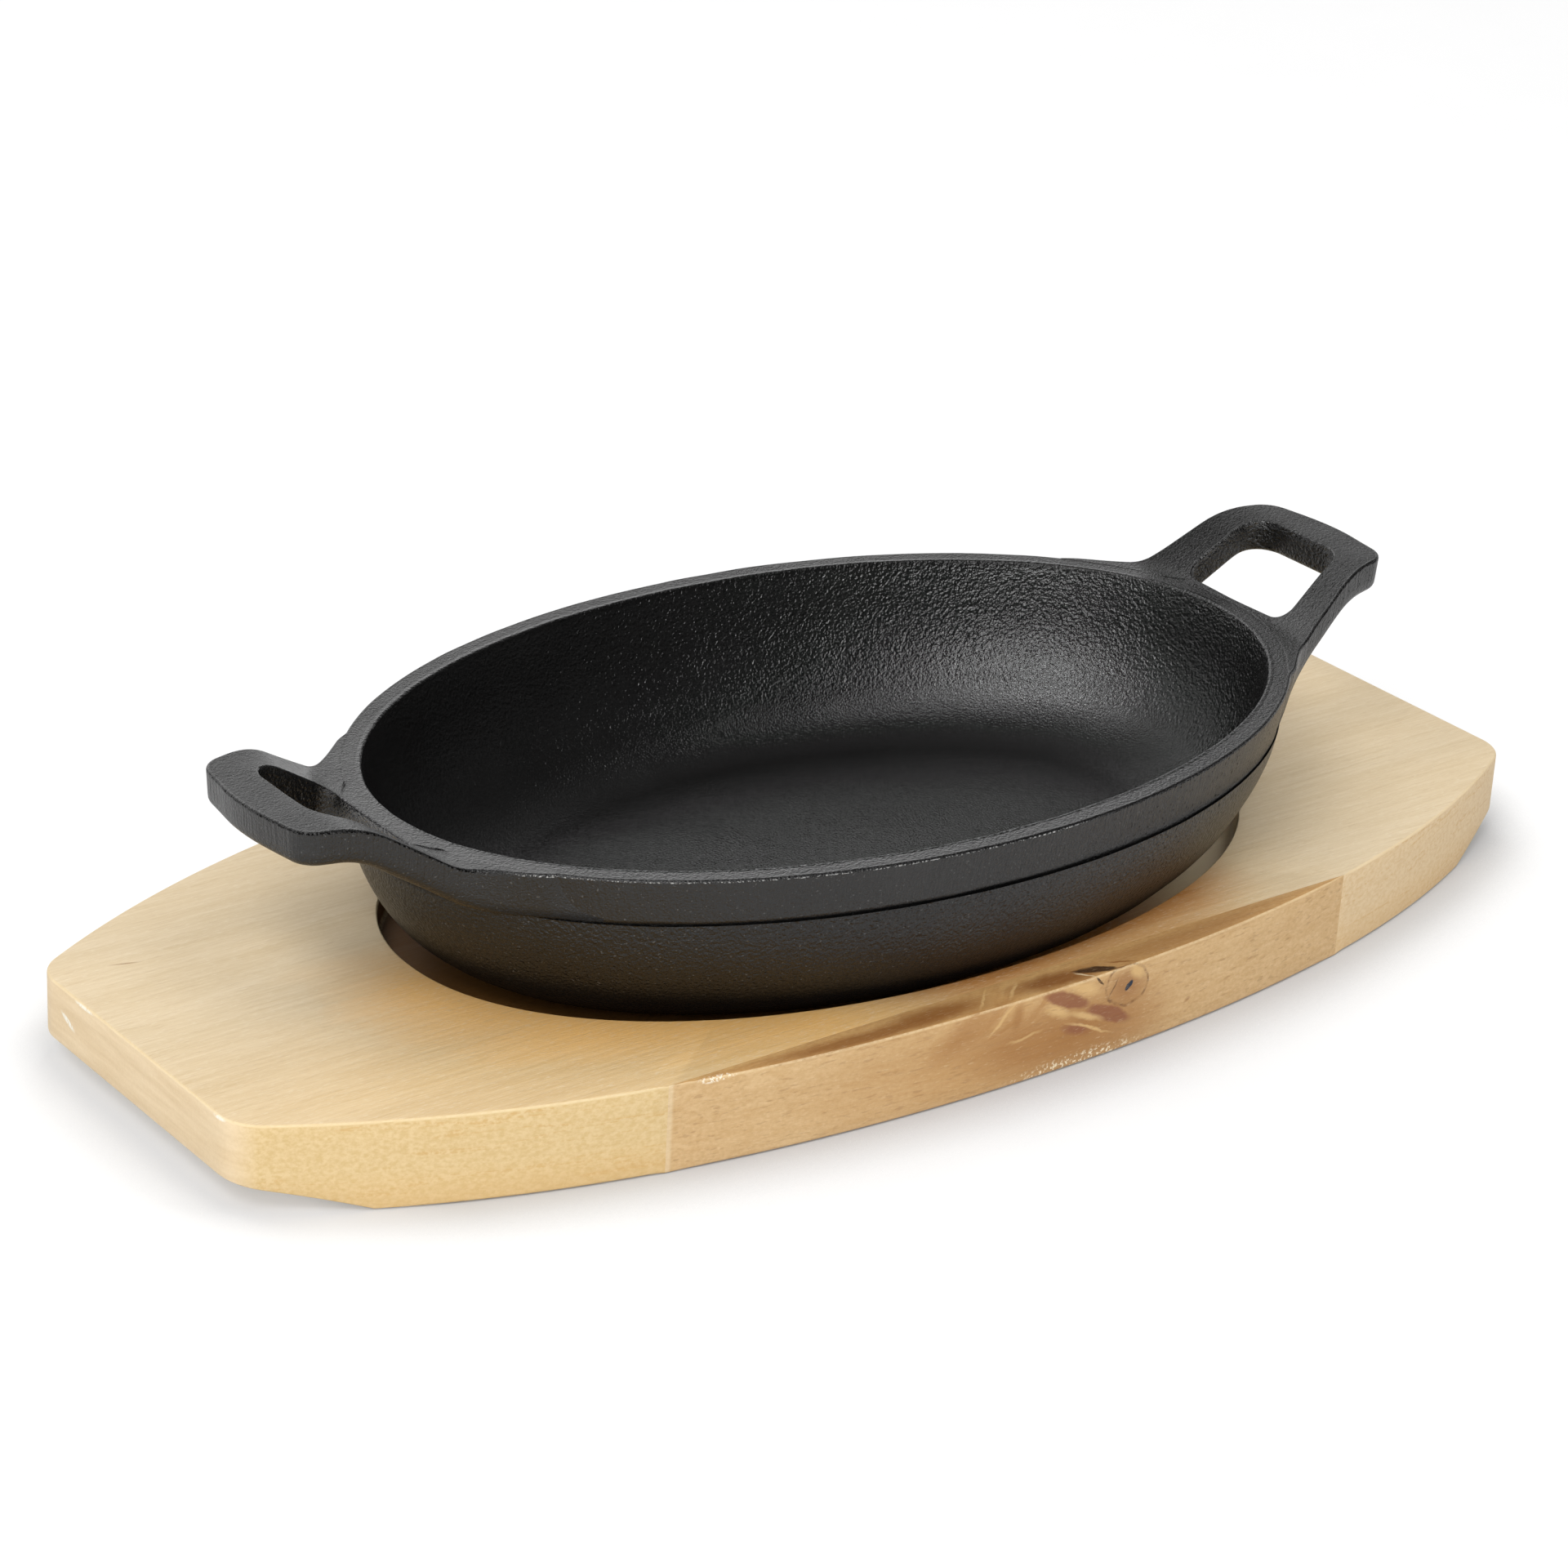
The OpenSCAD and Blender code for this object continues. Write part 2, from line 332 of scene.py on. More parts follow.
def add_bowl(shell):
    rings = bowl_walls(shell)
    shell.stack(rings)
    base_a, base_b = RIM_A - TURN_IN, RIM_B - TURN_IN * SIDE_SHARE
    floor_a = RIM_A - INNER_IN
    floor_b = RIM_B - RIM_T - (INNER_IN - RIM_T) * SIDE_SHARE
    floor_z = FLOOR_Z + IRON_FLOOR
    floor_marks = {"coarse": 0.09, "oily": 1}
    base_marks = {"coarse": 0.5, "dull": 1.0}
    inside, outside = rings[-1], rings[0]
    for share in (0.8, 0.6, 0.4, 0.2, 0.08):
        loop = oval(floor_a * share, floor_b * share, DISH_RING)
        ring = shell.ring(with_z(loop, floor_z), **floor_marks)
        shell.bridge(inside, ring)
        inside = ring
        loop = oval(base_a * share, base_b * share, DISH_RING)
        ring = shell.ring(with_z(loop, FLOOR_Z), **base_marks)
        shell.bridge(ring, outside)
        outside = ring
    shell.fan(inside, (0, 0, floor_z), **floor_marks)
    shell.fan(outside, (0, 0, FLOOR_Z), up=False, **base_marks)


def side_path(low):
    """Height of a handle's top or underside along X, as two arrays."""
    top_x = BEND_X + RISE / math.tan(RISE_SLOPE)
    low_x = BEND_X - (BAND_H - HANDLE_T) / math.tan(RISE_SLOPE)
    if low:
        start = [(RIM_A - 60, -BAND_H, 0), (low_x, -BAND_H, LOW_BEND_R + 4)]
        end = [(top_x, RISE - HANDLE_T, HIGH_BEND_R - 4), (RIM_A + REACH + 20, RISE - HANDLE_T, 0)]
    else:
        start = [(RIM_A - 60, 0, 0), (BEND_X, 0, LOW_BEND_R)]
        end = [(top_x, RISE, HIGH_BEND_R), (RIM_A + REACH + 20, RISE, 0)]
    path = rounded(start + end + [(RIM_A, RISE + 60, 0)], 16)[:-1]
    return path[:, 0], path[:, 1]


TOP_PATH = side_path(False)
UNDER_PATH = side_path(True)


def along(loop):
    """Distance along a handle, measured round the distant axis that its rise turns about."""
    axis_x = BEND_X - START_R
    return np.hypot(loop[:, 0] - axis_x, loop[:, 1]) + axis_x


def top(loop):
    return np.interp(along(loop), *TOP_PATH)


def under(loop):
    return np.interp(along(loop), *UNDER_PATH)


def handle_loops():
    """The closed outline of a handle, from above, and the outline of its finger gap."""
    tip = RIM_A + REACH
    edge_x = tip - 2
    # the root line touches the band's lower edge, so it leaves the sloping band without a step
    low_a, low_b = RIM_A - BAND_SLOPE, RIM_B - BAND_SLOPE
    tx, ty = low_a * math.sin(ROOT_TOUCH), low_b * math.cos(ROOT_TOUCH)
    slope = low_b / low_a * math.tan(ROOT_TOUCH)
    lean = math.tan(ARM_ANGLE)
    vx = (ty + slope * tx - GRIP_HALF - edge_x * lean) / (slope - lean)
    vy = GRIP_HALF - (vx - edge_x) * lean
    half = [(edge_x, GRIP_HALF, GRIP_CORNER_R), (vx, vy, ROOT_R), (tx, ty, 0)]
    mirrored = [(x, -y, r) for x, y, r in reversed(half)]
    outer = rounded(mirrored + [(tip + 0.5, 0, 40)] + half, 24)
    # the root lies inside the wall of the rim
    t = np.linspace(math.pi / 2 - ROOT_TOUCH, ROOT_TOUCH - math.pi / 2, 80)[1:-1]
    root = np.column_stack([(RIM_A - ROOT_DEEP) * np.cos(t), (RIM_B - ROOT_DEEP) * np.sin(t)])
    loop = np.vstack([outer, root])

    near = RIM_A + 0.5
    far = RIM_A + REACH - BAR_W
    half = [(far, GAP_GRIP_HALF, 6), (near, GAP_ROOT_HALF, 2.7)]
    return loop, rounded([(x, -y, r) for x, y, r in reversed(half)] + half, 16)


def by_angle(loop, centre, angles):
    """Points where rays at the given angles from a centre meet a closed loop."""
    d = loop - centre
    a = np.unwrap(np.arctan2(d[:, 1], d[:, 0]))
    order = np.argsort(a)
    a, pts = a[order], loop[order]
    a = np.concatenate([a - 2 * math.pi, a, a + 2 * math.pi])
    pts = np.vstack([pts, pts, pts])
    return np.column_stack([np.interp(angles, a, pts[:, k]) for k in (0, 1)])


HANDLE_RAYS = 300
GAP_SKIN = {"coarse": 1.0, "dull": 0.8}


def from_rim(loop, inset=0.0):
    """Distance of each point as a share of the rim's oval: 1 on the oval."""
    return np.hypot(loop[:, 0] / (RIM_A - inset), loop[:, 1] / (RIM_B - inset))


def flat_lift(loop):
    """Sinks the top into the wall once it is past the rim's rounded edge."""
    reach = from_rim(loop)
    depth = (1 - reach) * reach / from_rim(loop / (RIM_A, RIM_B))
    return TOP_LIFT - 0.45 * np.clip((depth - 0.55) / 0.8, 0, 1)


class Handle:
    """One loop handle: top, underside, outer side and finger gap, each with rounded edges."""

    def __init__(self, shell, sign):
        self.shell = shell
        self.sign = sign
        self.rings = []
        outline, gap = handle_loops()
        centre = np.array([RIM_A + 9.5, 0])
        dense = resample(outline, 4 * HANDLE_RAYS)
        # ray angles follow the outline evenly, so that corners keep their points
        even = resample(outline, HANDLE_RAYS)
        angles = np.sort(np.arctan2(*(even - centre).T[::-1]))
        self.outer = by_angle(dense, centre, angles)
        self.inner = by_angle(resample(gap, 800), centre, angles)
        self.out_n, self.in_n = outward(self.outer), outward(self.inner)
        # the hidden root is kept square, so that it stays inside the wall
        self.out_n *= np.clip((from_rim(self.outer) - 0.988) / 0.01, 0, 1)[:, None]
        self.shape_side()
        self.add_top()
        self.add_side()
        self.add_underside()
        self.add_gap()
        self.shell.stack([*self.rings, self.rings[0]], flip=self.sign > 0)

    def shape_side(self):
        """The side leans as the band does at the root, and stands nearly upright on the arm."""
        arm = np.clip((from_rim(self.outer, BAND_SLOPE) - 1) / 0.06, 0, 1)[:, None]
        arm = arm * arm * (3 - 2 * arm)
        self.crest = self.outer + self.out_n * BAND_SLOPE * (1 - arm)
        self.hem = self.outer - self.out_n * 0.25 * arm
        self.low_r = 0.35 + 1.25 * arm
        self.low_dull = 1.7 - 0.7 * arm[:, 0]

    def place(self, loop, height, lift, **marks):
        """Adds a ring at a height, or at the height that a function gives for it."""
        if callable(height):
            height = height(loop)
        points = with_z(loop, RIM_Z + height + lift)
        points[:, 0] *= self.sign
        self.rings.append(self.shell.ring(points, **marks))

    def add_top(self):
        # where the outline passes under the rim its edge sinks, without chips
        reach = from_rim(self.crest)
        shown = np.clip((reach - 0.997) / 0.003, 0, 1)
        hidden = EDGE_SINK * np.clip((0.9985 - reach) / 0.002, 0, 1)
        outer_top = self.crest - self.out_n * EDGE_R
        inner_top = self.inner + self.in_n * EDGE_R
        for s in np.linspace(1, 0, 45)[:-1]:
            loop = outer_top + (inner_top - outer_top) * s
            matt = 0.75 * np.clip((from_rim(loop) - 1) / 0.1, 0, 1)
            sink = hidden * np.clip(1 - s / 0.12, 0, 1)
            self.place(loop, top, flat_lift(loop) - sink, coarse=0.42, dull=matt)
        for t in quarter(6):
            loop = self.crest - self.out_n * EDGE_R * (1 - math.sin(t))
            drop = flat_lift(outer_top) - EDGE_R * (1 - math.cos(t)) - hidden
            dull = math.sin(t)
            self.place(loop, top, drop, coarse=0.3, ground=0.6, edge=dull * shown, dull=dull)

    def add_side(self):
        z_top = top(self.outer) - EDGE_R
        z_low = under(self.outer) + self.low_r[:, 0]
        for s in (0.04, 0.2, 0.4, 0.6, 0.8):
            loop = self.crest + (self.hem - self.crest) * s
            self.place(loop, z_top + (z_low - z_top) * s, 0, coarse=0.15, ground=1.0, dull=1.0)
        for t in quarter(7):
            loop = self.hem - self.out_n * self.low_r * (1 - math.cos(t))
            lift = self.low_r[:, 0] * (1 - math.sin(t))
            self.place(loop, under, lift, coarse=0.35, dull=self.low_dull)

    def add_underside(self):
        inner_low = self.inner + self.in_n * GAP_LOW_R
        outer_low = self.hem - self.out_n * self.low_r
        for s in np.linspace(0, 1, 8)[1:]:
            loop = outer_low + (inner_low - outer_low) * s
            self.place(loop, under, 0, coarse=0.9, dull=self.low_dull)

    def add_gap(self):
        for t in quarter(5)[1:]:
            loop = self.inner + self.in_n * GAP_LOW_R * (1 - math.sin(t))
            self.place(loop, under, GAP_LOW_R * (1 - math.cos(t)), **GAP_SKIN)
        z_low = under(self.inner) + GAP_LOW_R
        z_top = top(self.inner) - EDGE_R
        for s in (0.25, 0.5, 0.75):
            self.place(self.inner, z_low + (z_top - z_low) * s, 0, **GAP_SKIN)
        for t in quarter(6)[:-1]:
            loop = self.inner + self.in_n * EDGE_R * (1 - math.cos(t))
            self.place(loop, top, TOP_LIFT - EDGE_R * (1 - math.sin(t)), coarse=0.7)


def roughen(obj, size_mm, depth_mm):
    """Moves the points of a casting a little along their normals, as a sand mould leaves them."""
    mesh = obj.data
    count = len(mesh.vertices)
    points = np.zeros(count * 3, np.float32)
    normals = np.zeros(count * 3, np.float32)
    mesh.vertices.foreach_get("co", points)
    mesh.vertices.foreach_get("normal", normals)
    points, normals = points.reshape(-1, 3), normals.reshape(-1, 3)
    scale = 1 / (size_mm * MM)
    depth = np.array([noise.noise(Vector(p) * scale) for p in points.tolist()])
    points += normals * (depth * depth_mm * MM)[:, None]
    mesh.vertices.foreach_set("co", points.ravel())
    mesh.update()


def make_dish():
    shell = Shell()
    add_bowl(shell)
    for sign in (1, -1):
        Handle(shell, sign)
    dish = shell.build("dish_casting", sharp=50)
    roughen(dish, WAVE_SIZE, WAVE_DEPTH)
    return dish


BOW = HALF_W - END_HALF


def half_w(x):
    u = (x / END_X) ** 2
    return HALF_W - BOW * (BOW_SHARE * u + (1 - BOW_SHARE) * u * u)


def side_angle(x):
    u = (x / END_X) ** 2
    return math.atan(BOW * 2 * x / END_X**2 * (BOW_SHARE + 2 * (1 - BOW_SHARE) * u))


def quarter_outline():
    """Outline from the middle of the back side to the end face, as stations (x, y)."""
    first = END_X - CORNER_R * (1 - math.sin(side_angle(END_X - CORNER_R)))
    touch = END_X - CORNER_R * (1 - math.sin(side_angle(first)))
    lean = math.asin((touch - END_X + CORNER_R) / CORNER_R)
    corner_y = half_w(touch) - CORNER_R * math.cos(lean)
    runs = [0, STAVE_HI[0], END_X - COVE_L, touch]
    xs = [0.0]
    for start, end in zip(runs, runs[1:]):
        xs += list(np.linspace(start, end, max(2, int((end - start) / 2.2))))[1:]
    side = [(x, half_w(x)) for x in xs]
    corner = [
        (END_X - CORNER_R + CORNER_R * math.sin(t), corner_y + CORNER_R * math.cos(t))
        for t in np.linspace(lean, math.pi / 2, 14)[1:]
    ]
    return np.array(side + corner)


def cove_height(x):
    """Height of the underside at x: level in the middle, a shallow hollow under each end."""
    start = END_X - COVE_L
    chord = math.hypot(COVE_L, COVE_H)
    lean = math.atan(COVE_H / COVE_L)
    drop = math.sqrt(COVE_R**2 - (chord / 2) ** 2)
    mid_x = start + COVE_L / 2 + drop * math.sin(lean)
    mid_z = COVE_H / 2 - drop * math.cos(lean)
    ax = np.minimum(abs(x), END_X)
    return np.where(ax > start, mid_z + np.sqrt(np.maximum(COVE_R**2 - (ax - mid_x) ** 2, 0)), 0.0)


def stations():
    """x, front y and back y of every station along the board."""
    q = quarter_outline()
    x = np.concatenate([-q[::-1, 0], q[1:, 0]])
    y = np.concatenate([q[::-1, 1], q[1:, 1]])
    return x, -y, y


END_STEPS = 26
END_SHARES = np.linspace(0, 1, END_STEPS + 1)[1:-1]


def strip_loop(x, front, back):
    """Counter-clockwise loop: front side, right end, back side, left end."""
    count = len(END_SHARES)
    right = np.column_stack([np.full(count, x[-1]), front[-1] + (back[-1] - front[-1]) * END_SHARES])
    left = np.column_stack([np.full(count, x[0]), back[0] + (front[0] - back[0]) * END_SHARES])
    return np.vstack([np.column_stack([x, front]), right, np.column_stack([x, back])[::-1], left])


def add_underside(shell, ring, n):
    """Fills the bottom loop with rows that run from front to back."""
    rows = []
    for i in range(n):
        front = ring[i]
        back = ring[n + END_STEPS - 1 + (n - 1 - i)]
        if i == 0:
            inner = ring[2 * n + END_STEPS - 1:][::-1]
        elif i == n - 1:
            inner = ring[n:n + END_STEPS - 1]
        else:
            a, b = np.array(shell.points[front]), np.array(shell.points[back])
            inner = shell.ring([a + (b - a) * s for s in END_SHARES])
        rows.append([front, *inner, back])
    for low, high in zip(rows, rows[1:]):
        shell.bridge(high, low, closed=False)


def board_sections(shell, loop, ease_dir):
    """Rings from the eased bottom edge up to the eased top edge, and the last one inward."""
    under = cove_height(loop[:, 0])
    rings = []
    for t in quarter(4):
        ring = loop + ease_dir * EASE * (1 - math.sin(t))
        z = under + EASE * (1 - math.cos(t))
        rings.append(shell.ring(with_z(ring, z)))
    for s in (0.25, 0.5, 0.75):
        rings.append(shell.ring(with_z(loop, under + EASE + (BOARD_T - 2 * EASE - under) * s)))
    for t in quarter(4):
        ring = loop + ease_dir * EASE * (1 - math.cos(t))
        rings.append(shell.ring(with_z(ring, BOARD_T - EASE * (1 - math.sin(t)))))
    shell.stack(rings)
    return rings[0], rings[-1]


def make_main_stave():
    x, front, back = stations()
    front = np.maximum(front, -GLUE_Y)
    loop = strip_loop(x, front, back)
    n = len(x)
    full = strip_loop(x, -back, back)
    ease_dir = -outward(full)
    glued = np.zeros(len(loop), bool)
    glued[:n] = full[:n, 1] < -GLUE_Y - 0.001
    ease_dir[glued] = 0
    shell = Shell()
    bottom, top = board_sections(shell, loop, ease_dir)
    add_underside(shell, bottom, n)
    # the top face runs from the outline to the recess
    top_pts = np.array([shell.points[i] for i in top])
    angles = np.arctan2(top_pts[:, 1] / RECESS_B, top_pts[:, 0] / RECESS_A)
    power = 2 / RECESS_SQUARE
    c, s = np.cos(angles), np.sin(angles)
    unit = np.column_stack([np.sign(c) * abs(c) ** power, np.sign(s) * abs(s) ** power])
    size = np.array([RECESS_A, RECESS_B])
    lip, foot = RECESS_LIP, RECESS_FOOT
    rings = [top]
    for t in quarter(4):
        ring = unit * (size + lip * (1 - math.sin(t)))
        rings.append(shell.ring(with_z(ring, BOARD_T - lip * (1 - math.cos(t)))))
    for share in (0.35, 0.7):
        z = BOARD_T - lip - (RECESS_D - lip - foot) * share
        rings.append(shell.ring(with_z(unit * size, z)))
    for t in np.radians([0, 22, 45, 67, 90]):
        ring = unit * (size - foot * (1 - math.cos(t)))
        rings.append(shell.ring(with_z(ring, FLOOR_Z + foot * (1 - math.sin(t)))))
    for share in (0.75, 0.5, 0.25):
        rings.append(shell.ring(with_z(unit * (size - foot) * share, FLOOR_Z)))
    shell.stack(rings)
    shell.fan(rings[-1], (0, 0, FLOOR_Z))
    return shell.build("main_stave", sharp=30)


def make_front_stave():
    x, front, back = stations()
    inside = abs(x) <= STAVE_HI[0] + 0.001
    x, front = x[inside], front[inside]
    n = len(x)
    glue_line = np.column_stack([x, np.full(n, -GLUE_Y)])[::-1][1:-1]
    loop = np.vstack([np.column_stack([x, front]), glue_line])
    # the easing runs out where the stave gets thin
    ease_dir = np.zeros_like(loop)
    ease_dir[:n, 1] = np.clip((-GLUE_Y - front) / 1.5, 0, 1)
    shell = Shell()
    bottom, top = board_sections(shell, loop, ease_dir)
    for ring, up in ((bottom, False), (top, True)):
        chord = [ring[0]] + list(ring[n:])[::-1] + [ring[n - 1]]
        side = ring[:n]
        for i in range(n - 1):
            quad = list(dict.fromkeys([side[i], side[i + 1], chord[i + 1], chord[i]]))
            shell.faces.append(tuple(quad if up else quad[::-1]))
    return shell.build("front_stave", sharp=30)


class Tree:
    """Short calls for building the nodes of a material or of the world."""

    def __init__(self, owner):
        owner.use_nodes = True
        self.owner = owner
        self.nodes = owner.node_tree.nodes
        self.links = owner.node_tree.links
        self.shader = self.nodes.get("Principled BSDF")

    def set(self, socket, value):
        if isinstance(value, bpy.types.NodeSocket):
            self.links.new(value, socket)
        elif socket.type == "RGBA":
            socket.default_value = (*value, 1)
        else:
            socket.default_value = value

    def surface(self, **sockets):
        """Sets sockets of the shader itself, with _ for a space in their names."""
        for name, value in sockets.items():
            self.set(self.shader.inputs[name.replace("_", " ")], value)

    def add(self, kind, out=0, settings=None, values=(), **inputs):
        """A new node's output, with values for its first inputs and for named ones."""
        node = self.nodes.new("ShaderNode" + kind)
        for key, value in (settings or {}).items():
            setattr(node, key, value)
        for socket, value in zip(node.inputs, values):
            self.set(socket, value)
        for key, value in inputs.items():
            self.set(node.inputs[key], value)
        return node.outputs[out]

    def math(self, operation, *values):
        return self.add("Math", 0, {"operation": operation}, values)

    def times(self, *values):
        return reduce(partial(self.math, "MULTIPLY"), values)

    def plus(self, *values):
        return reduce(partial(self.math, "ADD"), values)

    def minus(self, a, b):
        return self.math("SUBTRACT", a, b)

    def greater(self, a, b):
        return self.math("MAXIMUM", a, b)

    def vector(self, operation, *values):
        """Vector maths; a length comes out as a number."""
        out = "Value" if operation == "LENGTH" else "Vector"
        return self.add("VectorMath", out, {"operation": operation}, values)

    def split(self, vector):
        """The X, Y and Z of a vector."""
        return tuple(self.add("SeparateXYZ", values=[vector]).node.outputs)

    def join(self, x, y):
        """A flat vector."""
        return self.add("CombineXYZ", X=x, Y=y)

    def mix(self, share, a, b):
        mixed = self.add("Mix", 2, {"data_type": "RGBA"}, [share])
        self.set(mixed.node.inputs[6], a)
        self.set(mixed.node.inputs[7], b)
        return mixed

    def lay(self, tone, colour, *shares):
        """Lays a colour over a tone by the product of the shares."""
        return self.mix(self.times(*shares), tone, colour)

    def coords(self, scale=(1, 1, 1), move=(0, 0, 0), turn=(0, 0, 0)):
        place = self.add("TexCoord", 3)
        return self.add("Mapping", Vector=place, Scale=scale, Location=move, Rotation=turn)

    def noise(self, vector, scale, detail=3.0, rough=0.5, warp=0.0):
        return self.add(
            "TexNoise", Vector=vector, Scale=scale, Detail=detail, Roughness=rough, Distortion=warp
        )

    def span(self, value, low, high, to_low=0.0, to_high=1.0):
        """Maps low..high to to_low..to_high, held at both ends."""
        return self.add("MapRange", values=(value, low, high, to_low, to_high))

    def fall(self, value, low, high):
        """1 up to low, falling to 0 at high."""
        return self.span(value, low, high, 1, 0)

    def oval(self, vector, centre, half, lean=0, edge=0.55):
        """1 inside a leaning oval, fading to 0 at its outline."""
        place = {"Location": (*centre, 0), "Rotation": (0, 0, math.radians(lean)), "Scale": (*half, 1)}
        inside = self.add("Mapping", 0, {"vector_type": "TEXTURE"}, Vector=vector, **place)
        return self.fall(self.vector("LENGTH", inside), edge, 1)

    def bump(self, height, distance, **under):
        return self.add("Bump", Height=height, Distance=distance, **under)


# colours of the casting: its clouds from dark to light, bare metal in its chips, also used as a
# painted highlight, and its pits, whose black is also used as painted shade
IRON_DARK = (0.0034, 0.0032, 0.0031)
IRON_LIGHT = (0.0063, 0.0061, 0.0059)
BARE_METAL_HIGHLIGHT = (0.42, 0.42, 0.41)
PIT_AND_SHADE_BLACK = (0.0015, 0.0014, 0.0013)
# where the chips of the ground edge are painted bright as a highlight, in metres: start and end along
# X, and end along Y
CHIPS_START = (-0.092, -0.084)
CHIPS_END = (0.003, 0.014)
CHIPS_BACK = (-0.03, -0.02)
# how far the grains stray from their cells, in metres
GRAIN_SHIFT = 0.0007
# heights of the casting's small forms, in millimetres
GRAIN_H = 0.07
LUMP_H = 0.1
BEAD_H = 0.34
GRIT_H = 0.15
STROKE_H = 0.22
CHIP_H = 0.2
# specular level of the polished and of the dull iron, and the shares left in the turn, at the
# back of the outside and in pits
GLOSS_LEVELS = (0.95, 0.44)
TURN_SHARE = 0.2
BACK_SHARE = 0.42
PIT_SHARE = 0.05


def cast_grain(t):
    """Sand-mould grain: rounded grains of half a millimetre, with grit on them."""
    stray = t.add("TexNoise", 1, Vector=t.place, Scale=1500, Detail=1)
    shifted = t.vector("MULTIPLY_ADD", stray, (GRAIN_SHIFT,) * 3, t.place)
    cells = t.add("TexVoronoi", Vector=shifted, Scale=1700)
    grains = t.minus(1, t.times(cells, cells))
    beads = t.noise(t.place, 1500, 1)
    lumps = t.noise(t.place, 600, 1)
    t.grit = t.noise(t.place, 2900, 1.5, 0.6)
    body = t.plus(t.times(grains, GRAIN_H), t.times(lumps, LUMP_H), t.times(beads, BEAD_H))
    t.height = t.plus(t.times(body, t.coarse), t.times(t.grit, GRIT_H))


def grinding(t):
    """Upright marks where the band was ground."""
    strokes = t.noise(t.coords((1700, 1700, 60)), 1, 2, 0.6)
    t.height = t.plus(t.height, t.times(strokes, t.ground, STROKE_H))


def edge_chips(t):
    """Chips along the ground edge: a painted highlight in bare-metal grey on the left of the front,
    where the light falls, and painted shade as dark pits elsewhere.
    """
    ragged = t.span(t.noise(t.place, 3000, 2, 0.6), 0.51, 0.57)
    ragged = t.times(ragged, t.span(t.edge, 0.62, 0.8))
    # painted highlight on the lit left of the front, painted shade elsewhere
    lit_side = t.times(t.span(t.x, *CHIPS_START), t.fall(t.x, *CHIPS_END))
    lit_side = t.times(lit_side, t.fall(t.y, *CHIPS_BACK))
    t.bright = t.times(ragged, lit_side)
    t.dark = t.times(ragged, t.minus(1, lit_side))
    t.height = t.minus(t.height, t.times(ragged, CHIP_H))


def pits_and_glints(t):
    """Scattered pits in the outer wall, the painted shadow under the step as a dark line, and painted
    glints on the left.
    """
    pits = t.span(t.noise(t.place, 1900, 0), 0.73, 0.77)
    pits = t.times(pits, t.dull, t.span(t.x, 0, 0.03))
    # painted shadow: a dark line under the overhanging step
    line = t.times(t.joint, t.span(t.x, 0, 0.04, 0.22, 0.08))
    t.dark = t.greater(t.greater(t.dark, pits), line)
    # painted glints: bright specks on the left of the outer wall
    glints = t.span(t.noise(t.place, 2300, 0), 0.76, 0.8)
    glints = t.times(glints, t.fall(t.dull, 1, 1.5), t.dull)
    glints = t.times(glints, t.span(t.x, 0.02, 0.05, 0.12, 0))
    t.bright = t.greater(t.bright, glints)


def iron_gloss(t):
    """Specular level, a little higher on the left of the ground band and lower on its right."""
    level = t.span(t.dull, 0, 1, *GLOSS_LEVELS)
    level = t.times(level, t.span(t.dull, 1, 2, 1, TURN_SHARE))
    band = t.times(t.ground, t.span(t.x, -0.03, 0.03, 0.07, -0.1))
    back = t.times(t.span(t.y, 0, 0.04), t.minus(1, t.oily))
    level = t.times(t.plus(level, band), t.span(back, 0, 1, 1, BACK_SHARE))
    return t.times(level, t.span(t.dark, 0, 1, 1, PIT_SHARE))


def iron_material():
    t = Tree(bpy.data.materials.new("seasoned_cast_iron"))
    for mark in MARKS:
        setattr(t, mark, t.add("Attribute", 2, {"attribute_name": mark}))
    t.place = t.coords()
    t.x, t.y, _ = t.split(t.place)
    for step in (cast_grain, grinding, edge_chips, pits_and_glints):
        step(t)
    cloud = t.noise(t.place, 45)
    tone = t.mix(t.span(cloud, 0.3, 0.7), IRON_DARK, IRON_LIGHT)
    tone = t.lay(tone, BARE_METAL_HIGHLIGHT, t.bright)
    tone = t.lay(tone, PIT_AND_SHADE_BLACK, t.dark)
    t.surface(Specular_IOR_Level=0.6)
    t.surface(
        Base_Color=tone,
        Specular_IOR_Level=iron_gloss(t),
        IOR=t.span(t.oily, 0, 1, 1.5, 1.65),
        Roughness=t.plus(t.span(t.grit, 0.35, 0.65, 0.15, 0.21), t.times(t.dull, 0.15)),
        Normal=t.bump(t.height, MM),
    )
    return t.owner


